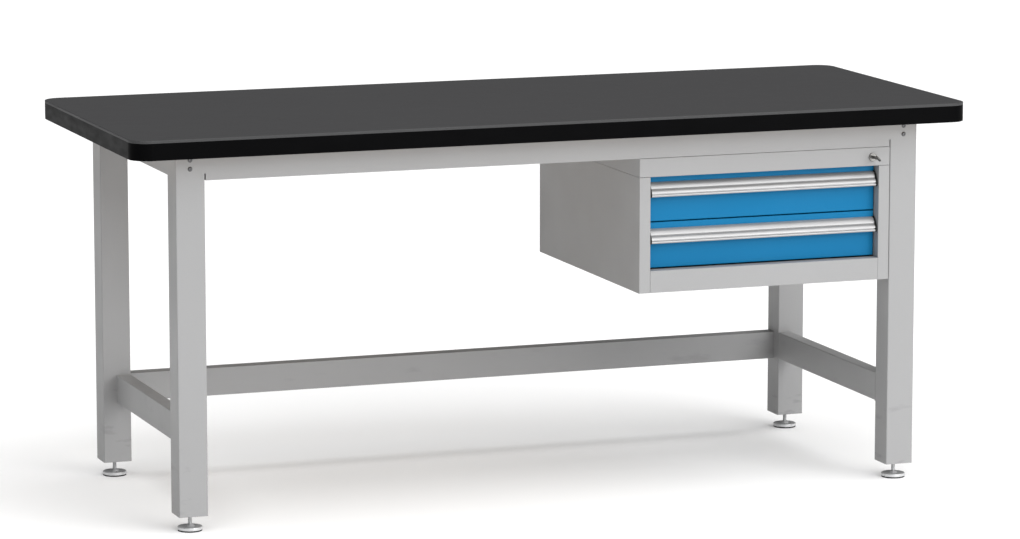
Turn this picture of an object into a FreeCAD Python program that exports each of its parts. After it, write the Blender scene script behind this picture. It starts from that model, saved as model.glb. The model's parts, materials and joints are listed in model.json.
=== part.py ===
"""Workbench with a hung two-drawer cabinet, in millimetres.

A laminated worktop lies on a welded-and-bolted frame of square steel tube: two side frames of two legs and
two rails each, joined by a folded apron at the front and the rear and by a low rail at the rear.  Each leg
stands on a screw foot.  A sheet-steel cabinet hangs under the right end, with two drawers on three-part
slides and a key lock whose cam lifts a locking bar.

Frame: +X to the right, +Y to the rear, +Z up.  The origin is on the floor under the worktop's centre.
"""
import FreeCAD
import Part
import math
import os

V = FreeCAD.Vector

# ---- driving dimensions -------------------------------------------------------------------------------
TOP_W, TOP_D, TOP_Z = 1800.0, 730.0, 800.0       # worktop width, depth and height above the floor
TOP_T, TOP_SKIN, BAND = 40.0, 5.7, 3.0           # whole worktop, its surface layer, its edge band
TOP_CORNER = 38.0                                # corner radius in plan
TOP_EDGE = 1.6                                   # rounding of the surface layer's upper edge

LEG, LEG_WALL, LEG_ROUND = 60.0, 2.0, 2.4        # square leg tube
FRAME_W, FRAME_D = 1604.0, 638.0                 # over the outside of the legs
LEG_Z0 = 33.0                                    # legs end this far above the floor

RAIL_W, RAIL_H, RAIL_WALL = 30.0, 60.0, 2.0      # side rails, upper and lower
RAIL_Z0 = 160.0                                  # underside of the lower ones
STRINGER_D, STRINGER_H, STRINGER_Z0 = 34.0, 59.0, 157.5

SHEET = 2.0                                      # frame sheet
APRON_H, APRON_D, APRON_LIP = 50.0, 30.0, 10.0
TAB_H = 36.0                                     # apron tab let into the leg's face
SLIT = 2.0                                       # gap between the apron's lower part and the leg
SCREW_Z = (734.0, 752.0)                         # apron screws, at each leg's middle

CAB_X0, CAB_X1 = 181.0, 741.0                    # cabinet, outside
CAB_Z0, CAB_D = 430.0, 588.0
CAB_T = 1.5                                      # cabinet sheet
HEADER_H, HOUSING_GAP = 40.0, 0.8                # top housing, and its gap under the apron
STILE = 24.3                                     # front border at each side
STILE_RETURN = 27.0                              # how far the border folds back
SILL_H = 45.7                                    # lower front border

FRONT_RECESS = 22.0                              # drawer fronts lie this far behind the cabinet's face
FRONT_GAP = 1.5                                  # drawer front to border, each side
FRONT_H, FRONT_T, FRONT_PAN = 94.0, 1.5, 18.0
FRONT_Z0 = (575.5, 479.0)                        # bottoms of the upper and the lower front
HANDLE_DROP = 12.5                               # handle below the front's top edge
HANDLE_CAP = 3.0

TRAY_T, TRAY_H, TRAY_D = 1.2, 72.0, 505.0
SLIDE_W, SLIDE_H, SLIDE_T, SLIDE_L = 13.0, 36.0, 1.4, 500.0

FOOT_R, PAD_H, DISC_H = 25.0, 3.0, 6.0
STUD_R, STUD_TOP, THREAD_CLEAR = 4.0, 92.0, 0.06

LOCK_X, LOCK_Z, LOCK_R = 702.0, 689.0, 8.8
PLUG_R, PLUG_CLEAR = 5.5, 0.05
PIN_ARM, PIN_R = 9.0, 2.2                        # cam pin's radius about the lock, and its own
PIN_REST = -45.0                                 # cam pin's angle at rest, degrees
KEY_TILT = -40.0                                 # keyway's lean at rest, top to the left, degrees
KEY_OUT, BOW_R = 35.0, 7.5                       # key stands out this far; its bow's radius

# ---- places worked out from them ----------------------------------------------------------------------
HX, HY = FRAME_W / 2, FRAME_D / 2                # frame half sizes
UNDER = TOP_Z - TOP_T                            # underside of the worktop
APRON_Z0 = UNDER - APRON_H
FACE = -HY                                       # front plane of legs, apron and cabinet
CAB_BACK = FACE + CAB_D
CAB_TOP = APRON_Z0
BODY_TOP = CAB_TOP - HEADER_H                    # top of the cabinet body, bottom of its top housing
CAB_MID = (CAB_X0 + CAB_X1) / 2
STRAP_X = (CAB_X0 + 90, CAB_X1 - 90)             # hanger screws and straps
OPEN_HALF = (CAB_X1 - CAB_X0) / 2 - STILE        # half width of the drawer opening
SILL_Z = CAB_Z0 + SILL_H
FRONT_Y = FACE + FRONT_RECESS                    # drawer fronts' face
FRONT_HALF = OPEN_HALF - FRONT_GAP
SLIDE_HALF = OPEN_HALF - 1.0                     # outside of the outer slide members
TRAY_HALF = SLIDE_HALF - SLIDE_W
TRAY_Y0 = FRONT_Y + FRONT_PAN
LEG_X, LEG_Y = HX - LEG / 2, HY - LEG / 2        # leg centres
STRINGER_BOLT_Y = HY - STRINGER_D + 20
STRINGER_BOLT_Z = (STRINGER_Z0 + 15, STRINGER_Z0 + STRINGER_H - 15)


# ---- helpers ------------------------------------------------------------------------------------------
def block(x0, x1, y0, y1, z0, z1):
    return Part.makeBox(x1 - x0, y1 - y0, z1 - z0, V(x0, y0, z0))


def rod(x, y, z, radius, length, direction=V(0, 0, 1)):
    return Part.makeCylinder(radius, length, V(x, y, z), direction)


def flip_x(shape, about=0.0):
    return shape.mirror(V(about, 0, 0), V(1, 0, 0))


def flip_y(shape):
    return shape.mirror(V(0, 0, 0), V(0, 1, 0))


def fuse(first, *rest):
    return first.multiFuse(list(rest)).removeSplitter()


def save(name, *solids):
    """One STEP per node; several solids make one group node."""
    shape = solids[0] if len(solids) == 1 else Part.makeCompound(list(solids))
    shape.exportStep(os.path.join("parts", name + ".step"))


def rounded_slab(hx, hy, radius, z0, z1):
    """A plate centred on the origin with rounded corners in plan."""
    slab = block(-hx, hx, -hy, hy, z0, z1)
    upright = [e for e in slab.Edges if abs(e.Vertexes[0].Z - e.Vertexes[1].Z) > (z1 - z0) / 2]
    return slab.makeFillet(radius, upright)


def edges_along(shape, axis):
    """Straight edges of a shape that run along one axis, 0 to 2."""
    found = []
    for edge in shape.Edges:
        if len(edge.Vertexes) == 2 and isinstance(edge.Curve, Part.Line):
            way = edge.Vertexes[1].Point - edge.Vertexes[0].Point
            if abs(way[axis]) > 0.999 * way.Length:
                found.append(edge)
    return found


def tube(x0, x1, y0, y1, z0, z1, wall, radius, axis):
    """Square tube along one axis, with rounded outer and inner corners."""
    low, high = [x0, y0, z0], [x1, y1, z1]
    outer = block(x0, x1, y0, y1, z0, z1)
    outer = outer.makeFillet(radius, edges_along(outer, axis))
    for k in range(3):
        if k != axis:
            low[k] += wall
            high[k] -= wall
    inner = block(low[0], high[0], low[1], high[1], low[2], high[2])
    inner = inner.makeFillet(radius - wall + 0.6, edges_along(inner, axis))
    return outer.cut(inner)


def button_screw(x, y, z, direction, radius, head_radius, head, length):
    """Button-head screw: the head stands out along direction, the shank goes the other way."""
    d = V(*direction)
    dome = Part.makeCone(head_radius, head_radius * 0.62, head, V(x, y, z), d)
    socket = Part.makeCylinder(radius * 0.7, head * 0.7, V(x, y, z) + d * (head * 0.3), d)
    shank = Part.makeCylinder(radius, length, V(x, y, z) - d * length, d)
    return fuse(dome.cut(socket), shank)


# ---- worktop ------------------------------------------------------------------------------------------
def worktop(screws):
    seam = TOP_Z - TOP_SKIN
    hx, hy = TOP_W / 2, TOP_D / 2
    board = rounded_slab(hx - BAND, hy - BAND, TOP_CORNER - BAND, UNDER, seam)
    band = rounded_slab(hx, hy, TOP_CORNER, UNDER, seam).cut(board)
    low_rim = [e for e in band.Edges if max(v.Z for v in e.Vertexes) < UNDER + 0.01
               and rim_distance(e, hx, hy) < 0.01]
    band = band.makeFillet(1.2, low_rim)
    skin = rounded_slab(hx, hy, TOP_CORNER, seam, TOP_Z)
    rim = [e for e in skin.Edges if min(v.Z for v in e.Vertexes) > TOP_Z - 0.01]
    skin = skin.makeFillet(TOP_EDGE, rim)
    save("worktop_board", board.cut(screws))
    save("worktop_edge_band", band)
    save("worktop_surface", skin)


def rim_distance(edge, hx, hy):
    """How far inside the rounded outline of half sizes hx, hy an edge's middle lies."""
    p = edge.valueAt((edge.FirstParameter + edge.LastParameter) / 2)
    dx, dy = abs(p.x) - (hx - TOP_CORNER), abs(p.y) - (hy - TOP_CORNER)
    if dx > 0 and dy > 0:
        return TOP_CORNER - math.hypot(dx, dy)
    return min(hx - abs(p.x), hy - abs(p.y))


# ---- frame --------------------------------------------------------------------------------------------
def legs():
    """Four tubes, notched at the top for the aprons' tabs; the rear ones take the low stringer's bolts."""
    leg = tube(-HX, -HX + LEG, -HY, -HY + LEG, LEG_Z0, UNDER, LEG_WALL, LEG_ROUND, 2)
    notch = block(-HX - 1, -HX + LEG + 1, FACE - 1, FACE + SHEET, UNDER - TAB_H, UNDER + 1)
    leg = leg.cut(notch)
    rear = flip_y(leg)
    for z in STRINGER_BOLT_Z:
        rear = rear.cut(rod(-HX + LEG - LEG_WALL - 1, STRINGER_BOLT_Y, z, 3.05, 4, V(1, 0, 0)))
    save("leg_front_left", leg)
    save("leg_front_right", flip_x(leg))
    save("leg_rear_left", rear)
    save("leg_rear_right", flip_x(rear))


def leg_plugs():
    """Threaded plugs welded into the lower ends of the legs, flush with them."""
    half = LEG / 2 - LEG_WALL
    plugs = []
    for sx in (-1, 1):
        for sy in (-1, 1):
            x, y = sx * LEG_X, sy * LEG_Y
            plate = block(x - half, x + half, y - half, y + half, LEG_Z0, LEG_Z0 + 5)
            plate = plate.makeFillet(1.1, edges_along(plate, 2))
            boss = rod(x, y, LEG_Z0 + 5, 9, 12)
            bore = rod(x, y, LEG_Z0 - 1, STUD_R + THREAD_CLEAR, 30)
            plugs.append(fuse(plate, boss).cut(bore))
    save("leg_end_plugs", *plugs)


def side_rails():
    inner, outer = -HX + LEG - RAIL_W, -HX + LEG
    y0, y1 = -HY + LEG, HY - LEG
    low = tube(inner, outer, y0, y1, RAIL_Z0, RAIL_Z0 + RAIL_H, RAIL_WALL, LEG_ROUND, 1)
    high = tube(inner, outer, y0, y1, UNDER - RAIL_H, UNDER, RAIL_WALL, LEG_ROUND, 1)
    save("side_rail_low_left", low)
    save("side_rail_low_right", flip_x(low))
    save("side_rail_top_left", high)
    save("side_rail_top_right", flip_x(high))


def apron():
    """Folded channel, open to the rear, with a tab at each end that closes the leg's notch."""
    end = HX - LEG - SLIT
    web = block(-end, end, FACE, FACE + SHEET, APRON_Z0, UNDER)
    top = block(-end, end, FACE, FACE + APRON_D, UNDER - SHEET, UNDER)
    bottom = block(-end, end, FACE, FACE + APRON_D, APRON_Z0, APRON_Z0 + SHEET)
    lip = block(-end, end, FACE + APRON_D - SHEET, FACE + APRON_D, APRON_Z0, APRON_Z0 + APRON_LIP)
    tab = block(-HX, -end, FACE, FACE + SHEET, UNDER - TAB_H, UNDER)
    tab = tab.makeFillet(1.9, [e for e in edges_along(tab, 2) if e.Vertexes[0].X < -HX + 1
                               and e.Vertexes[0].Y < FACE + 1])
    piece = fuse(web, top, bottom, lip, tab, flip_x(tab))
    for sx in (-1, 1):
        for z in SCREW_Z:
            piece = piece.cut(rod(sx * LEG_X, FACE - 1, z, 3.2, SHEET + 2, V(0, 1, 0)))
    return piece


def corner_plates():
    """Plates welded inside the legs' tops, behind the notch, that take the apron screws."""
    plates = []
    for sx in (-1, 1):
        for sy in (-1, 1):
            x, half = sx * LEG_X, LEG / 2 - LEG_WALL
            y0, y1 = sorted((sy * (HY - SHEET), sy * (HY - SHEET - 5)))
            plate = block(x - half, x + half, y0, y1, UNDER - TAB_H - 8, UNDER - 1)
            plate = plate.makeFillet(1.1, edges_along(plate, 2))
            for z in SCREW_Z:
                plate = plate.cut(rod(x, y0 - 1, z, 3.05, 8, V(0, 1, 0)))
            plates.append(plate)
    save("corner_plates", *plates)


def apron_screws():
    screws = []
    for sx in (-1, 1):
        for sy in (-1, 1):
            for z in SCREW_Z:
                screws.append(button_screw(sx * LEG_X, sy * HY, z, (0, sy, 0), 3.0, 4.8, 2.6, 15))
    save("apron_screws", *screws)


def low_stringer():
    """Folded rear rail, open to the rear, with a flange at each end bolted to the rear legs."""
    y0, y1 = HY - STRINGER_D, HY
    z0, z1 = STRINGER_Z0, STRINGER_Z0 + STRINGER_H
    end = HX - LEG
    web = block(-end, end, y0, y0 + SHEET, z0, z1)
    top = block(-end, end, y0, y1, z1 - SHEET, z1)
    bottom = block(-end, end, y0, y1, z0, z0 + SHEET)
    flange = block(-end, -end + 3, y0, y1, z0, z1)
    rail = fuse(web, top, bottom, flange, flip_x(flange))
    bolts = []
    for sx in (-1, 1):
        for z in STRINGER_BOLT_Z:
            rail = rail.cut(rod(sx * (end - 4), STRINGER_BOLT_Y, z, 3.2, 6, V(sx, 0, 0)))
            bolts.append(button_screw(sx * (end - 3), STRINGER_BOLT_Y, z, (-sx, 0, 0), 3.0, 5.2, 3.0, 12))
    save("rear_stringer", rail)
    save("stringer_screws", *bolts)


def worktop_screws():
    """Screws up through the aprons' top flanges into the board."""
    screws = []
    for x in (-640.0, -220.0, 220.0, 640.0):
        for sy in (-1, 1):
            y = sy * (HY - APRON_D + 12)
            screws.append(button_screw(x, y, UNDER - SHEET, (0, 0, -1), 2.4, 4.6, 2.4, 24))
    save("worktop_screws", *screws)
    return screws


# ---- screw feet ---------------------------------------------------------------------------------------
def foot(name, x, y):
    pad = rod(x, y, 0, FOOT_R - 0.4, PAD_H)
    pad = pad.makeFillet(0.8, [pad.Edges[2]] if pad.Edges[2].BoundBox.ZMax < 1 else [pad.Edges[0]])
    disc = rod(x, y, PAD_H, FOOT_R, DISC_H)
    rim = [e for e in disc.Edges if e.BoundBox.ZMin > PAD_H + DISC_H - 0.1]
    disc = disc.makeFillet(1.4, rim)
    hub = Part.makeCone(9.5, 6.4, 4.0, V(x, y, PAD_H + DISC_H), V(0, 0, 1))
    base = fuse(disc, hub).cut(rod(x, y, PAD_H + 2, STUD_R, 20))
    stud = rod(x, y, PAD_H + 2, STUD_R, STUD_TOP - PAD_H - 2)
    tip = [e for e in stud.Edges if e.BoundBox.ZMin > STUD_TOP - 0.1]
    stud = stud.makeChamfer(0.8, tip)
    save(name + "_pad", pad)
    save(name + "_base", base)
    save(name + "_stud", stud)


# ---- cabinet ------------------------------------------------------------------------------------------
def cabinet_side():
    """Left side panel with its front border, the border's return, and turned-in top and bottom lips."""
    x = CAB_X0
    panel = block(x, x + CAB_T, FACE, CAB_BACK, CAB_Z0, BODY_TOP)
    border = block(x, x + STILE, FACE, FACE + CAB_T, CAB_Z0, BODY_TOP)
    fold = block(x + STILE - CAB_T, x + STILE, FACE, FACE + STILE_RETURN, CAB_Z0, BODY_TOP)
    top = block(x, x + 18, FACE + STILE_RETURN + 6, CAB_BACK - 4, BODY_TOP - CAB_T, BODY_TOP)
    side = fuse(panel, border, fold, top)
    corner = [e for e in edges_along(side, 2)
              if e.Vertexes[0].Y < FACE + 0.01
              and (abs(e.Vertexes[0].X - x) < 0.01 or abs(e.Vertexes[0].X - x - STILE) < 0.01)]
    return side.makeFillet(1.0, corner)


def cabinet():
    x0, x1, t = CAB_X0, CAB_X1, CAB_T
    left = cabinet_side()
    save("cabinet_side_left", left)
    save("cabinet_side_right", flip_x(left, CAB_MID))
    floor = block(x0 + t, x1 - t, FACE + STILE_RETURN, CAB_BACK - t, CAB_Z0, CAB_Z0 + t)
    save("cabinet_floor", floor)
    back = block(x0 + t, x1 - t, CAB_BACK - t, CAB_BACK, CAB_Z0, BODY_TOP - 0.2)
    save("cabinet_back", back)
    left_edge, right_edge = CAB_MID - OPEN_HALF + 0.3, CAB_MID + OPEN_HALF - 0.3
    sill_face = block(left_edge, right_edge, FACE, FACE + t, CAB_Z0, SILL_Z)
    sill_top = block(left_edge, right_edge, FACE, FACE + STILE_RETURN - 1, SILL_Z - t, SILL_Z)
    sill_low = block(left_edge, right_edge, FACE, FACE + STILE_RETURN - 1, CAB_Z0, CAB_Z0 + t)
    sill = fuse(sill_face, sill_top, sill_low)
    lips = [e for e in edges_along(sill, 0) if e.Vertexes[0].Y < FACE + 0.01]
    save("cabinet_sill", sill.makeFillet(0.9, lips))


def top_housing(screws):
    """Shallow inverted pan over the cabinet body, with inner lips for the body and a hole for the lock."""
    x0, x1, t = CAB_X0, CAB_X1, CAB_T
    z0, z1 = BODY_TOP + 0.6, CAB_TOP - HOUSING_GAP
    pan = block(x0, x1, FACE, CAB_BACK, z0, z1)
    corners = [e for e in edges_along(pan, 2) if e.Vertexes[0].Y < FACE + 0.01]
    rims = [e for e in edges_along(pan, 0) if e.Vertexes[0].Y < FACE + 0.01]
    pan = pan.makeFillet(1.0, corners + rims)
    pan = pan.cut(block(x0 + t, x1 - t, FACE + t, CAB_BACK - t, z0 - 1, z1 - t))
    front_lip = block(x0 + t, x1 - t, FACE + t, FACE + 14, z0, z0 + t)
    side_lip = block(x0 + t, x0 + 16, FACE + 36, CAB_BACK - t, BODY_TOP, z0 + t)
    housing = fuse(pan, front_lip, side_lip, flip_x(side_lip, CAB_MID))
    housing = housing.cut(rod(LOCK_X, FACE - 1, LOCK_Z, LOCK_R - 1.5, 5, V(0, 1, 0)))
    save("cabinet_top_housing", housing.cut(screws))


def hanger_screws():
    """Screws that hang the top housing: one pair at the front apron, two pairs at the rear straps."""
    top = CAB_TOP - HOUSING_GAP
    screws = []
    for x in STRAP_X:
        screws.append(button_screw(x, FACE + 14, APRON_Z0 + SHEET, (0, 0, 1), 2.5, 4.6, 2.4, 8))
        for y in (CAB_BACK - 45, CAB_BACK - 20):
            screws.append(button_screw(x, y, top + 3, (0, 0, 1), 2.5, 4.6, 2.4, 8))
    save("hanger_screws", *screws)
    return screws


def hanger_straps(screws):
    """Straps on the housing's roof that reach back and hook over the rear apron's lip."""
    z0 = CAB_TOP - HOUSING_GAP
    lip_y, lip_z = HY - APRON_D, APRON_Z0 + APRON_LIP
    straps = []
    for x in STRAP_X:
        flat = block(x - 20, x + 20, CAB_BACK - 60, lip_y - 1, z0, z0 + 3)
        riser = block(x - 20, x + 20, lip_y - 4, lip_y - 1, z0, lip_z + 3)
        hook = block(x - 20, x + 20, lip_y - 4, lip_y + 12, lip_z, lip_z + 3)
        straps.append(fuse(flat, riser, hook).cut(screws))
    save("hanger_straps", *straps)


def slide_posts():
    """Uprights between the side panels and the slides, two at each side."""
    posts = []
    inner = CAB_MID - SLIDE_HALF
    for y in (FACE + STILE_RETURN + 14, CAB_BACK - 60):
        web = block(inner - CAB_T, inner, y, y + 30, CAB_Z0 + 2, BODY_TOP - 2)
        legs_ = [block(CAB_X0 + CAB_T, inner, y + k, y + k + CAB_T, CAB_Z0 + 2, BODY_TOP - 2)
                 for k in (0, 30 - CAB_T)]
        post = fuse(web, *legs_)
        posts += [post, flip_x(post, CAB_MID)]
    save("slide_posts", *posts)


# ---- drawers ------------------------------------------------------------------------------------------
def channel(x_web, x_tip, z, half, y0, y1):
    """A U channel lying on its side, from its web to its flanges' tips."""
    a, b = sorted((x_web, x_web + math.copysign(SLIDE_T, x_tip - x_web)))
    lo, hi = sorted((x_web, x_tip))
    web = block(a, b, y0, y1, z - half, z + half)
    top = block(lo, hi, y0, y1, z + half - SLIDE_T, z + half)
    low = block(lo, hi, y0, y1, z - half, z - half + SLIDE_T)
    return fuse(web, top, low)


def slides(name, z):
    """Three-part slides at both sides of one drawer."""
    x = CAB_MID - SLIDE_HALF
    y0 = TRAY_Y0 + 3
    half = SLIDE_H / 2
    outer = channel(x, x + 9.5, z, half, y0, y0 + SLIDE_L)
    middle = channel(x + SLIDE_T + 1.0, x + 10.5, z, half - SLIDE_T - 0.6, y0, y0 + SLIDE_L)
    inner = channel(x + SLIDE_W, x + SLIDE_T * 2 + 1.6, z, half - 2 * SLIDE_T - 1.2, y0, y0 + SLIDE_L)
    for part, shape in (("slide_outer", outer), ("slide_middle", middle), ("slide_inner", inner)):
        save(name + "_" + part, shape, flip_x(shape, CAB_MID))


def drawer_front(z0):
    """Folded pan: a face with all four edges turned back."""
    x0, x1 = CAB_MID - FRONT_HALF, CAB_MID + FRONT_HALF
    y0, y1, z1 = FRONT_Y, FRONT_Y + FRONT_PAN, z0 + FRONT_H
    pan = block(x0, x1, y0, y1, z0, z1)
    rim = [e for e in pan.Edges if max(v.Y for v in e.Vertexes) < y0 + 0.01]
    pan = pan.makeFillet(1.2, rim)
    hollow = block(x0 + FRONT_T, x1 - FRONT_T, y0 + FRONT_T, y1 + 1, z0 + FRONT_T, z1 - FRONT_T)
    return pan.cut(hollow)


def tray(z0):
    """Open box of five welded sheets; its front wall stands against the front's turned edges."""
    x0, x1 = CAB_MID - TRAY_HALF, CAB_MID + TRAY_HALF
    y0, y1, z1 = TRAY_Y0, TRAY_Y0 + TRAY_D, z0 + TRAY_H
    t = TRAY_T
    floor = block(x0, x1, y0, y1, z0, z0 + t)
    left = block(x0, x0 + t, y0, y1, z0 + t, z1)
    right = block(x1 - t, x1, y0, y1, z0 + t, z1)
    front = block(x0 + t, x1 - t, y0, y0 + t, z0 + t, z1)
    rear = block(x0 + t, x1 - t, y1 - t, y1, z0 + t, z1)
    return floor, left, right, front, rear


def handle(z_top):
    """Full-width grip: a curved hood with a crease, a shadow groove and a lip, on a back flange."""
    x0, x1 = CAB_MID - FRONT_HALF + HANDLE_CAP, CAB_MID + FRONT_HALF - HANDLE_CAP

    def at(out, down):
        return V(x0, FRONT_Y - out, z_top - down)

    hood = [
        Part.LineSegment(at(0.0, 0.0), at(1.2, 0.0)).toShape(),
        Part.Arc(at(1.2, 0.0), at(7.4, 4.4), at(12.2, 12.4)).toShape(),
        Part.LineSegment(at(12.2, 12.4), at(11.0, 13.2)).toShape(),
        Part.LineSegment(at(11.0, 13.2), at(12.6, 14.6)).toShape(),
        Part.Arc(at(12.6, 14.6), at(16.2, 17.8), at(18.0, 22.0)).toShape(),
    ]
    groove_and_lip = [
        Part.LineSegment(at(18.0, 22.0), at(15.0, 22.6)).toShape(),
        Part.LineSegment(at(15.0, 22.6), at(15.0, 24.6)).toShape(),
        Part.LineSegment(at(15.0, 24.6), at(18.2, 25.2)).toShape(),
        Part.Arc(at(18.2, 25.2), at(18.6, 27.4), at(17.4, 29.3)).toShape(),
        Part.LineSegment(at(17.4, 29.3), at(12.4, 29.3)).toShape(),
        Part.LineSegment(at(12.4, 29.3), at(12.4, 27.6)).toShape(),
    ]
    inside = [
        Part.LineSegment(at(12.4, 27.6), at(13.2, 26.4)).toShape(),
        Part.LineSegment(at(13.2, 26.4), at(13.2, 20.8)).toShape(),
        Part.Arc(at(13.2, 20.8), at(12.0, 17.2), at(9.4, 13.8)).toShape(),
        Part.Arc(at(9.4, 13.8), at(6.0, 7.6), at(1.6, 3.0)).toShape(),
        Part.LineSegment(at(1.6, 3.0), at(1.6, 26.0)).toShape(),
        Part.LineSegment(at(1.6, 26.0), at(0.0, 26.0)).toShape(),
        Part.LineSegment(at(0.0, 26.0), at(0.0, 0.0)).toShape(),
    ]
    section = Part.Face(Part.Wire(hood + groove_and_lip + inside))
    return section.extrude(V(x1 - x0, 0, 0))


def handle_cap(z_top):
    """Moulded end cap that closes one end of the grip and follows its outline."""
    x0 = CAB_MID - FRONT_HALF

    def at(out, down):
        return V(x0, FRONT_Y - out, z_top - down)

    outline = [
        Part.LineSegment(at(0.0, -1.0), at(1.8, -1.0)).toShape(),
        Part.Arc(at(1.8, -1.0), at(8.6, 4.0), at(14.0, 12.8)).toShape(),
        Part.Arc(at(14.0, 12.8), at(18.2, 19.0), at(19.4, 27.4)).toShape(),
        Part.LineSegment(at(19.4, 27.4), at(18.0, 30.2)).toShape(),
        Part.LineSegment(at(18.0, 30.2), at(0.0, 27.4)).toShape(),
        Part.LineSegment(at(0.0, 27.4), at(0.0, -1.0)).toShape(),
    ]
    return Part.Face(Part.Wire(outline)).extrude(V(HANDLE_CAP, 0, 0))


def drawer(name, z0):
    save(name + "_front", drawer_front(z0))
    save(name + "_tray", *tray(z0 + 8))
    z_top = z0 + FRONT_H - HANDLE_DROP
    save(name + "_handle", handle(z_top))
    cap = handle_cap(z_top)
    save(name + "_handle_caps", cap, flip_x(cap, CAB_MID))
    slides(name, z0 + 8 + TRAY_H / 2)


# ---- lock ---------------------------------------------------------------------------------------------
def about_lock(shape, degrees):
    """Turn a shape about the lock's axis, clockwise from the front."""
    shape.rotate(V(LOCK_X, 0, LOCK_Z), V(0, 1, 0), degrees)
    return shape


def lock():
    back = V(0, 1, 0)
    rosette = rod(LOCK_X, FACE - 3.0, LOCK_Z, LOCK_R, 3.0, back)
    rosette = rosette.makeFillet(1.0, [e for e in rosette.Edges if e.BoundBox.YMax < FACE - 2.9])
    barrel = rod(LOCK_X, FACE - 0.1, LOCK_Z, LOCK_R - 1.6, 16.1, back)
    nut = rod(LOCK_X, FACE + CAB_T, LOCK_Z, LOCK_R + 1.5, 3.0, back)
    bore = rod(LOCK_X, FACE - 5, LOCK_Z, PLUG_R + PLUG_CLEAR, 30, back)
    save("lock_housing", fuse(rosette, barrel, nut).cut(bore))
    plug = rod(LOCK_X, FACE - 3.2, LOCK_Z, PLUG_R, 19.4, back)
    keyway = block(LOCK_X - 0.9, LOCK_X + 0.9, FACE - 4, FACE + 14.4, LOCK_Z - 3.3, LOCK_Z + 3.3)
    save("lock_plug", plug.cut(about_lock(keyway, KEY_TILT)))
    cam_y = FACE + 16.2
    angle = math.radians(PIN_REST)
    pin_x, pin_z = LOCK_X + PIN_ARM * math.cos(angle), LOCK_Z + PIN_ARM * math.sin(angle)
    disc = rod(LOCK_X, cam_y, LOCK_Z, PIN_ARM + 3.2, 2.0, back)
    pin = rod(pin_x, cam_y + 2.0, pin_z, PIN_R, 5.0, back)
    save("lock_cam", fuse(disc, pin))
    lock_bar(pin_z, cam_y + 3.0)


def lock_bar(pin_z, y):
    """Flat locking bar: a slotted head at the cam pin, and an upright with two lugs in the right border."""
    clear = PIN_R + 0.6
    x_right = CAB_X1 - 6
    x_left = x_right - 14
    head = block(LOCK_X - 16, x_right, y, y + 3, pin_z - 7, pin_z + 7)
    slot = block(LOCK_X - 12, LOCK_X + 13, y - 1, y + 4, pin_z - clear, pin_z + clear)
    upright = block(x_left, x_right, y, y + 3, SILL_Z + 10, pin_z)
    lugs = [block(x_left - 2.2, x_left, y, y + 3, z0 + 20, z0 + 40) for z0 in FRONT_Z0]
    save("lock_bar", fuse(head.cut(slot), upright, *lugs))


def key():
    """Flat key with a round pierced bow."""
    y_plug, y_tip = FACE - 3.2, FACE + 13.5
    y_bow = FACE - KEY_OUT + BOW_R
    blade = block(LOCK_X - 0.8, LOCK_X + 0.8, y_plug - 6, y_tip, LOCK_Z - 3.0, LOCK_Z + 2.4)
    collar = block(LOCK_X - 1.1, LOCK_X + 1.1, y_bow, y_plug - 2.5, LOCK_Z - 4.0, LOCK_Z + 4.0)
    bow = rod(LOCK_X - 1.1, y_bow, LOCK_Z, BOW_R, 2.2, V(1, 0, 0))
    hole = rod(LOCK_X - 2, y_bow - 3.4, LOCK_Z, 2.4, 5, V(1, 0, 0))
    save("key", about_lock(fuse(blade, collar, bow).cut(hole), KEY_TILT))


# ---- all of it ----------------------------------------------------------------------------------------
def main():
    os.makedirs("parts", exist_ok=True)
    top_screws = worktop_screws()
    cabinet_screws = hanger_screws()
    worktop(top_screws)
    legs()
    leg_plugs()
    side_rails()
    bare_apron = apron()
    save("apron_front", bare_apron.cut(top_screws + cabinet_screws))
    save("apron_rear", flip_y(bare_apron).cut(top_screws))
    corner_plates()
    apron_screws()
    low_stringer()
    for name, sx, sy in (("foot_front_left", -1, -1), ("foot_front_right", 1, -1),
                         ("foot_rear_left", -1, 1), ("foot_rear_right", 1, 1)):
        foot(name, sx * LEG_X, sy * LEG_Y)
    cabinet()
    top_housing(cabinet_screws)
    hanger_straps(cabinet_screws)
    slide_posts()
    for name, z0 in zip(("upper_drawer", "lower_drawer"), FRONT_Z0):
        drawer(name, z0)
    lock()
    key()


main()
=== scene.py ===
"""Looks for the workbench with drawers: a material for every piece, threaded studs, weld beads, the studio.

Metres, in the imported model's frame: +X right, +Y rear, +Z up, the floor at zero.
"""
import json
import math

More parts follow.
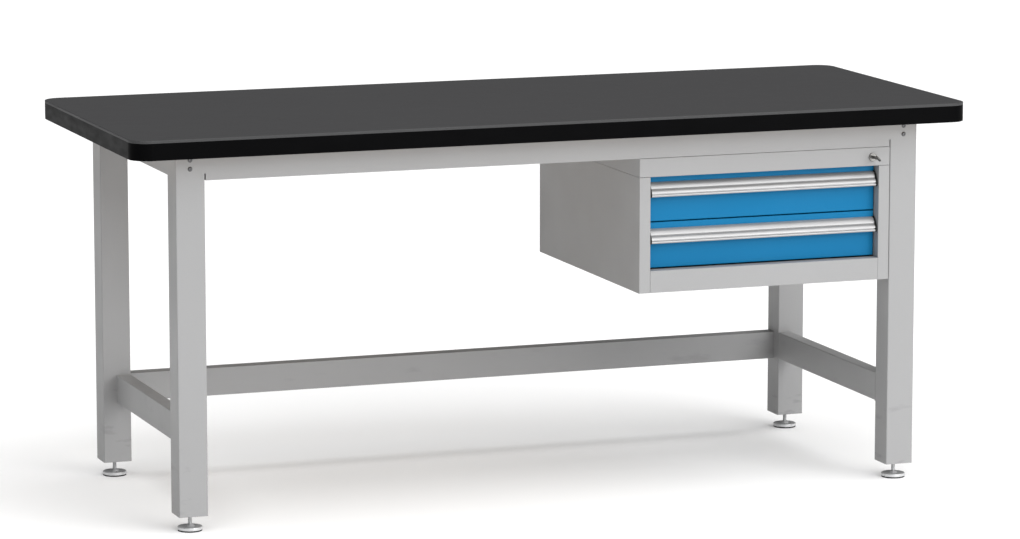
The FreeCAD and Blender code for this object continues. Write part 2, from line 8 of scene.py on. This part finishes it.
import bpy
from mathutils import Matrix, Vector


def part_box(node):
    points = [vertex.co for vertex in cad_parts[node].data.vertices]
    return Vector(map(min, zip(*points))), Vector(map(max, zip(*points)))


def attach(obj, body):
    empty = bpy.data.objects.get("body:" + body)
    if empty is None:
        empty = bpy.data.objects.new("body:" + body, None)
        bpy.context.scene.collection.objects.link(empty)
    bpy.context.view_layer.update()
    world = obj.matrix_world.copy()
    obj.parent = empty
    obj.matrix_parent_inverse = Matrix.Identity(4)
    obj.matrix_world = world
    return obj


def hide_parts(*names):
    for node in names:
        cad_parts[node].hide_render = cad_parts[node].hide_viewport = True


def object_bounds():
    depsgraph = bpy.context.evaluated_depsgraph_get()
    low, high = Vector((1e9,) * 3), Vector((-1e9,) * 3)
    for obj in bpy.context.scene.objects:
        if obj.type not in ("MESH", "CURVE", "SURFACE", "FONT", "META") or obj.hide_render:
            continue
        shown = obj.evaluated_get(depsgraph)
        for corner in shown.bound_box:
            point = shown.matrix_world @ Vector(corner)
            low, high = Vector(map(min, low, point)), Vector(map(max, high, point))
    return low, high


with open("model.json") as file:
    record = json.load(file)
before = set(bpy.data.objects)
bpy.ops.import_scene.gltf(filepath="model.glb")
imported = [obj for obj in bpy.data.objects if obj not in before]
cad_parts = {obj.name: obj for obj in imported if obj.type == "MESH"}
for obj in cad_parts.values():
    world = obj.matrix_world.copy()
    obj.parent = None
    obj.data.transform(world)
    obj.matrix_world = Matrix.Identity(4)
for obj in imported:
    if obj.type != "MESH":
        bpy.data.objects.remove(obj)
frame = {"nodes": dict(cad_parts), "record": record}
CAD_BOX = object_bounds()
NODES = frame["nodes"]
MM = 0.001

# ---- camera -------------------------------------------------------------------------------------------
CAMERA_AT = (-3.2312, -8.9431, 1.9916)
CAMERA_YAW, CAMERA_PITCH = math.radians(19.949), math.radians(9.256)     # to the right, and down
CAMERA_LENS, CAMERA_SENSOR = 161.69, 36.0

# ---- colours, linear ----------------------------------------------------------------------------------
CHARCOAL = (0.0385, 0.0385, 0.0397)
EDGE_BLACK = (0.0016, 0.0016, 0.0018)
FRAME_GREY = (0.318, 0.318, 0.320)
TRAY_GREY = (0.31, 0.31, 0.313)
DRAWER_BLUE = (0.0020, 0.148, 0.325)
CAP_BLACK = (0.006, 0.006, 0.0065)
RUBBER_BLACK = (0.006, 0.006, 0.006)
CHIP_DARK, CHIP_LIGHT = (0.20, 0.13, 0.075), (0.52, 0.38, 0.23)
ALUMINIUM = (0.36, 0.36, 0.362)
ZINC = (0.42, 0.425, 0.43)
SCREW_ZINC = (0.15, 0.15, 0.153)
FOOT_ZINC = (0.62, 0.625, 0.63)
NICKEL, KEY_NICKEL = (0.20, 0.197, 0.19), (0.10, 0.098, 0.094)
DUST = (0.16, 0.155, 0.15)
FLOOR_WHITE, FLOOR_GLOW = (0.80, 0.80, 0.80), 0.20

# ---- sizes of the added pieces ------------------------------------------------------------------------
THREAD_PITCH, THREAD_DEPTH = 1.25 * MM, 0.68 * MM
THREAD_INSET = 0.02 * MM                     # how far the crests stay inside the plain stud's wall
THREAD_CHAMFER, CHAMFER_DROP = 0.8 * MM, 0.6 * MM
STUD_SIDES, RINGS_PER_TURN = 24, 8
BEAD_RADIUS, BEAD_RIPPLE, BEAD_SIDES = 1.5 * MM, 2.6 * MM, 8
RAIL_TOP_CLEAR = 2.0 * MM                    # keeps the upper rails' beads below the worktop

# ---- studio light -------------------------------------------------------------------------------------
FLOOR_SIZE = 120.0
WORLD_STRENGTH = 0.15
SUN_FROM, SUN_STRENGTH, SUN_SPREAD = (0.45, -1.3, 3.0), 3.6, math.radians(92)
SOFTBOX_FROM, SOFTBOX_POWER, SOFTBOX_SIZE = (3.2, -6.6, 1.5), 290.0, 5.0


# ---- shader helpers -----------------------------------------------------------------------------------
class Shader:
    """A material's node tree with short calls for the few nodes that all finishes use."""

    def __init__(self, name, metallic=0.0, specular=0.5):
        self.material = bpy.data.materials.new(name)
        self.material.use_nodes = True
        self.tree = self.material.node_tree
        self.surface = self.tree.nodes["Principled BSDF"]
        self.surface.inputs["Metallic"].default_value = metallic
        self.surface.inputs["Specular IOR Level"].default_value = specular
        self.place = self.node("TexCoord").outputs["Object"]

    def node(self, kind, **settings):
        made = self.tree.nodes.new("ShaderNode" + kind)
        for key, value in settings.items():
            setattr(made, key, value)
        return made

    def link(self, output, target):
        self.tree.links.new(output, target)

    def noise(self, scale, detail=3.0, stretch=(1.0, 1.0, 1.0)):
        """Noise of about 1/scale metres, drawn out where stretch is under one."""
        mapping = self.node("Mapping")
        mapping.inputs["Scale"].default_value = stretch
        texture = self.node("TexNoise")
        texture.inputs["Scale"].default_value = scale
        texture.inputs["Detail"].default_value = detail
        self.link(self.place, mapping.inputs["Vector"])
        self.link(mapping.outputs["Vector"], texture.inputs["Vector"])
        return texture.outputs["Fac"]

    def cells(self, scale, feature="F1", output="Distance"):
        texture = self.node("TexVoronoi", feature=feature)
        texture.inputs["Scale"].default_value = scale
        self.link(self.place, texture.inputs["Vector"])
        return texture.outputs[output]

    def spread(self, value, low, high, out_low=0.0, out_high=1.0):
        """Map low..high of a value to out_low..out_high."""
        ranged = self.node("MapRange")
        ranged.inputs["From Min"].default_value = low
        ranged.inputs["From Max"].default_value = high
        ranged.inputs["To Min"].default_value = out_low
        ranged.inputs["To Max"].default_value = out_high
        self.link(value, ranged.inputs["Value"])
        return ranged.outputs["Result"]

    def times(self, first, second):
        product = self.node("Math", operation="MULTIPLY")
        self.link(first, product.inputs[0])
        self.link(second, product.inputs[1])
        return product.outputs["Value"]

    def height(self):
        parts = self.node("SeparateXYZ")
        self.link(self.place, parts.inputs["Vector"])
        return parts.outputs["Z"]

    def mix(self, amount, first, second):
        """Colour between first and second; each is a colour or another mix's output."""
        mixed = self.node("Mix", data_type="RGBA")
        self.link(amount, mixed.inputs["Factor"])
        for socket, colour in ((mixed.inputs[6], first), (mixed.inputs[7], second)):
            if isinstance(colour, tuple):
                socket.default_value = (*colour, 1.0)
            else:
                self.link(colour, socket)
        return mixed.outputs[2]

    def finish(self, colour, roughness, height, depth, strength=1.0):
        """Wire colour, roughness and a bump of the given depth in metres; return the material."""
        bump = self.node("Bump")
        bump.inputs["Distance"].default_value = depth
        bump.inputs["Strength"].default_value = strength
        self.link(height, bump.inputs["Height"])
        self.link(colour, self.surface.inputs["Base Color"])
        self.link(roughness, self.surface.inputs["Roughness"])
        self.link(bump.outputs["Normal"], self.surface.inputs["Normal"])
        return self.material


def shade(colour, factor):
    return tuple(channel * factor for channel in colour)


# ---- finishes -----------------------------------------------------------------------------------------
def powder_coat(name, colour, specular=0.22, scuffed=False):
    """Satin powder coat: faint clouding, fine speckle, orange peel, and scuffs low down where feet reach."""
    paint = Shader(name, specular=specular)
    tint = paint.mix(paint.noise(3.5), shade(colour, 0.965), shade(colour, 1.035))
    speckle = paint.spread(paint.noise(1400.0, 2.0), 0.35, 0.65, 0.0, 0.35)
    tint = paint.mix(speckle, tint, shade(colour, 0.90))
    rough = paint.spread(paint.noise(9.0, 4.0), 0.3, 0.7, 0.40, 0.50)
    if scuffed:
        streaks = paint.spread(paint.noise(38.0, 6.0, (0.35, 0.35, 1.0)), 0.60, 0.72)
        low_down = paint.spread(paint.height(), 0.26, 0.03)
        tint = paint.mix(paint.times(streaks, low_down), tint, shade(colour, 0.72))
    return paint.finish(tint, rough, paint.noise(620.0, 2.0), 0.00012, 0.55)


def laminate():
    """Matte charcoal laminate: fine pebble texture, faint clouding and a few rubbed patches."""
    top = Shader("charcoal_laminate", specular=0.25)
    tint = top.mix(top.noise(2.2, 4.0), shade(CHARCOAL, 0.93), shade(CHARCOAL, 1.07))
    flecks = top.spread(top.noise(1900.0, 2.0), 0.42, 0.62, 0.0, 0.5)
    tint = top.mix(flecks, tint, shade(CHARCOAL, 1.5))
    rough = top.spread(top.noise(5.0, 6.0), 0.35, 0.70, 0.50, 0.60)
    return top.finish(tint, rough, top.noise(1100.0, 2.0), 0.00010, 0.6)


def edge_band():
    """Smooth near-black edge with a slight ripple from the gluing and fine handling marks."""
    edge = Shader("black_edge_band", specular=0.018)
    tint = edge.mix(edge.noise(14.0, 4.0), shade(EDGE_BLACK, 0.8), shade(EDGE_BLACK, 1.5))
    rough = edge.spread(edge.noise(55.0, 5.0, (0.3, 0.3, 1.0)), 0.3, 0.7, 0.34, 0.46)
    return edge.finish(tint, rough, edge.noise(45.0, 3.0), 0.00035, 0.35)


def particle_board():
    """Pressed wood chips of mixed tones."""
    board = Shader("particle_board", specular=0.2)
    chips = board.spread(board.cells(420.0, output="Color"), 0.1, 0.9)
    tint = board.mix(chips, CHIP_DARK, CHIP_LIGHT)
    tint = board.mix(board.spread(board.noise(7.0), 0.3, 0.7, 0.0, 0.3), tint, CHIP_DARK)
    rough = board.spread(board.noise(200.0), 0.3, 0.7, 0.75, 0.92)
    return board.finish(tint, rough, board.cells(420.0), 0.0002, 0.5)


def drawn_metal(name, colour, along, rough_low, rough_high, metallic=1.0, lines=520.0):
    """Metal with fine lines along one direction, as drawn or rolled; an anodised layer is less metallic."""
    metal = Shader(name, metallic=metallic)
    stretch = tuple(0.012 if k == along else 1.0 for k in range(3))
    grain = metal.noise(lines, 3.0, stretch)
    tint = metal.mix(grain, shade(colour, 0.90), shade(colour, 1.08))
    smudge = metal.spread(metal.noise(26.0, 5.0), 0.45, 0.75, 0.0, 0.35)
    tint = metal.mix(smudge, tint, shade(colour, 0.86))
    rough = metal.spread(grain, 0.3, 0.7, rough_low, rough_high)
    return metal.finish(tint, rough, grain, 0.00005, 0.35)


def plated(name, colour, rough_low, rough_high, cell=140.0, metallic=1.0):
    """Plated metal: soft crystals, stains in the grain and fine pits; a dull layer is less metallic."""
    metal = Shader(name, metallic=metallic)
    crystal = metal.spread(metal.cells(cell, output="Color"), 0.0, 1.0)
    tint = metal.mix(crystal, shade(colour, 0.93), shade(colour, 1.05))
    stain = metal.spread(metal.noise(60.0, 6.0), 0.52, 0.78, 0.0, 0.5)
    tint = metal.mix(stain, tint, shade(colour, 0.66))
    rough = metal.spread(metal.noise(90.0, 4.0), 0.3, 0.7, rough_low, rough_high)
    return metal.finish(tint, rough, metal.noise(900.0, 3.0), 0.00004, 0.4)


def moulded(name, colour, rough_low, rough_high, grain, depth):
    """Moulded plastic or rubber with a spark-eroded grain and dust in it."""
    part = Shader(name, specular=0.15)
    tint = part.mix(part.noise(30.0, 4.0), shade(colour, 0.8), shade(colour, 1.35))
    dust = part.spread(part.noise(240.0, 5.0), 0.60, 0.80, 0.0, 0.12)
    tint = part.mix(dust, tint, DUST)
    rough = part.spread(part.noise(120.0, 3.0), 0.3, 0.7, rough_low, rough_high)
    return part.finish(tint, rough, part.noise(grain, 2.0), depth, 0.5)


FINISHES = {
    "worktop_laminate": laminate(),
    "edge_band": edge_band(),
    "board_core": particle_board(),
    "frame_paint": powder_coat("grey_powder_coat", FRAME_GREY, scuffed=True),
    "tray_paint": powder_coat("tray_powder_coat", TRAY_GREY),
    "drawer_paint": powder_coat("blue_powder_coat", DRAWER_BLUE, specular=0.12),
    "aluminium_profile": drawn_metal("drawn_aluminium", ALUMINIUM, 0, 0.36, 0.46, metallic=0.6),
    "slide_zinc": drawn_metal("rolled_zinc_steel", ZINC, 1, 0.28, 0.42),
    "zinc_steel": plated("zinc_plated_steel", SCREW_ZINC, 0.40, 0.54),
    "foot_zinc": plated("zinc_plated_foot", FOOT_ZINC, 0.26, 0.38, 90.0, metallic=0.45),
    "lock_nickel": plated("satin_nickel", NICKEL, 0.22, 0.34, 260.0),
    "key_nickel": plated("worn_nickel", KEY_NICKEL, 0.28, 0.45, 320.0),
    "cap_plastic": moulded("black_cap_plastic", CAP_BLACK, 0.42, 0.58, 900.0, 0.00008),
    "foot_rubber": moulded("black_rubber", RUBBER_BLACK, 0.62, 0.80, 500.0, 0.00015),
}


def dress_nodes():
    """Give every CAD node the finish of its material slot."""
    for part in frame["record"]["subparts"]:
        node = NODES[part["node"]]
        finish = FINISHES[part["material_slot"]]
        if not node.data.materials:
            node.data.materials.append(finish)
        for k in range(len(node.data.materials)):
            node.data.materials[k] = finish


# ---- added pieces -------------------------------------------------------------------------------------
def mesh_piece(name, points, faces, slot, body):
    """A smooth-shaded mesh with a slot's finish, which rides on a body."""
    mesh = bpy.data.meshes.new(name)
    mesh.from_pydata(points, [], faces)
    mesh.materials.append(FINISHES[slot])
    mesh.update()
    mesh.shade_smooth()
    piece = bpy.data.objects.new(name, mesh)
    bpy.context.scene.collection.objects.link(piece)
    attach(piece, body)
    return piece


def grid_faces(rows, columns):
    """Quads of a tube of rows of points, closed round each row."""
    faces = []
    for i in range(rows - 1):
        for j in range(columns):
            k = (j + 1) % columns
            faces.append((i * columns + j, i * columns + k, (i + 1) * columns + k, (i + 1) * columns + j))
    return faces


def threaded_stud(foot):
    """Screw stud with a real helical thread, closed at both ends, in place of the plain CAD one."""
    node = "foot_" + foot + "_stud"
    low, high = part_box(node)
    cx, cy = (low.x + high.x) / 2, (low.y + high.y) / 2
    crest = (high.x - low.x) / 2 - THREAD_INSET
    rows = int((high.z - low.z) / THREAD_PITCH * RINGS_PER_TURN)
    points = []
    for i in range(rows + 1):
        z = low.z + (high.z - low.z) * i / rows
        from_end = min(z - low.z, high.z - z)
        chamfer = CHAMFER_DROP * (1 - max(min(from_end / THREAD_CHAMFER, 1.0), 0.0))
        for j in range(STUD_SIDES):
            turn = 2 * math.pi * j / STUD_SIDES
            phase = ((z - low.z) / THREAD_PITCH - j / STUD_SIDES) % 1.0
            ridge = min(1.0, max(0.0, 1.6 * (1 - abs(2 * phase - 1)) - 0.2))
            radius = crest - THREAD_DEPTH * (1 - ridge) - chamfer
            points.append((cx + radius * math.cos(turn), cy + radius * math.sin(turn), z))
    faces = grid_faces(rows + 1, STUD_SIDES)
    faces.append(tuple(reversed(range(STUD_SIDES))))
    faces.append(tuple(range(rows * STUD_SIDES, (rows + 1) * STUD_SIDES)))
    stud = mesh_piece("thread_" + foot, points, faces, "foot_zinc", "foot_" + foot)
    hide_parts(node)


def weld_bead(name, corners):
    """Closed rippled bead that follows straight lines between corners."""
    path = []
    for a, b in zip(corners, corners[1:] + corners[:1]):
        steps = max(2, round((b - a).length / BEAD_RIPPLE * 4))
        path += [a.lerp(b, k / steps) for k in range(steps)]
    middle = sum(corners, Vector()) / len(corners)
    along_y = Vector((0, 1, 0))
    points = []
    for i, p in enumerate(path):
        outward = (p - middle).normalized()
        swell = BEAD_RADIUS * (0.86 + 0.14 * math.cos(i * math.pi / 2) + 0.05 * math.sin(i * 1.7))
        for j in range(BEAD_SIDES):
            turn = 2 * math.pi * j / BEAD_SIDES
            points.append(tuple(p + swell * (math.cos(turn) * outward + math.sin(turn) * along_y)))
    faces = grid_faces(len(path), BEAD_SIDES)
    last = (len(path) - 1) * BEAD_SIDES
    for j in range(BEAD_SIDES):
        k = (j + 1) % BEAD_SIDES
        faces.append((last + j, last + k, k, j))
    mesh_piece(name, points, faces, "frame_paint", "frame")


def rail_welds():
    """A bead round each end of each side rail, where it meets the leg."""
    for rail in [n for n in NODES if n.startswith("side_rail_")]:
        low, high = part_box(rail)
        top = high.z - (RAIL_TOP_CLEAR if "top" in rail else 0.0)
        for side, y in (("front", low.y), ("rear", high.y)):
            outline = ((low.x, low.z), (high.x, low.z), (high.x, top), (low.x, top))
            corners = [Vector((x, y, z)) for x, z in outline]
            weld_bead("weld_" + rail.removeprefix("side_rail_") + "_" + side, corners)


# ---- studio -------------------------------------------------------------------------------------------
def studio():
    """A pale glowing floor, an even world, a soft overhead light and a softbox at the front right."""
    centre = (Vector(CAD_BOX[0]) + Vector(CAD_BOX[1])) / 2
    bpy.ops.mesh.primitive_plane_add(size=FLOOR_SIZE, location=(centre.x, centre.y, 0.0))
    floor = bpy.context.object
    floor.name = "floor"
    ground = Shader("pale_floor", specular=0.1)
    tint = ground.mix(ground.noise(1.5), shade(FLOOR_WHITE, 0.995), shade(FLOOR_WHITE, 1.005))
    rough = ground.spread(ground.noise(4.0), 0.3, 0.7, 0.85, 0.95)
    ground.surface.inputs["Emission Color"].default_value = (1.0, 1.0, 1.0, 1.0)
    ground.surface.inputs["Emission Strength"].default_value = FLOOR_GLOW
    floor.data.materials.append(ground.finish(tint, rough, ground.noise(300.0), 0.0001, 0.1))

    world = bpy.data.worlds.new("studio")
    world.use_nodes = True
    world.node_tree.nodes["Background"].inputs["Color"].default_value = (1.0, 1.0, 1.0, 1.0)
    world.node_tree.nodes["Background"].inputs["Strength"].default_value = WORLD_STRENGTH
    bpy.context.scene.world = world

    lamp("overhead", "SUN", SUN_FROM, centre, SUN_STRENGTH, angle=SUN_SPREAD)
    lamp("front_softbox", "AREA", SOFTBOX_FROM, centre, SOFTBOX_POWER, size=SOFTBOX_SIZE)


def lamp(name, kind, offset, target, energy, angle=None, size=None):
    """A light at an offset from the target, aimed at it."""
    data = bpy.data.lights.new(name, kind)
    data.energy = energy
    if angle is not None:
        data.angle = angle
    if size is not None:
        data.shape = "SQUARE"
        data.size = size
    light = bpy.data.objects.new(name, data)
    light.location = target + Vector(offset)
    light.rotation_euler = (-Vector(offset)).to_track_quat("-Z", "Y").to_euler()
    bpy.context.scene.collection.objects.link(light)


def camera():
    """The view that the looks were matched in."""
    data = bpy.data.cameras.new("camera")
    data.sensor_width = CAMERA_SENSOR
    data.lens = CAMERA_LENS
    data.clip_end = 200.0
    view = bpy.data.objects.new("camera", data)
    view.location = CAMERA_AT
    view.rotation_euler = (math.pi / 2 - CAMERA_PITCH, 0.0, -CAMERA_YAW)
    bpy.context.scene.collection.objects.link(view)
    bpy.context.scene.camera = view


dress_nodes()
for foot_name in ("front_left", "front_right", "rear_left", "rear_right"):
    threaded_stud(foot_name)
rail_welds()
studio()
camera()
bpy.context.scene.view_settings.view_transform = "Standard"
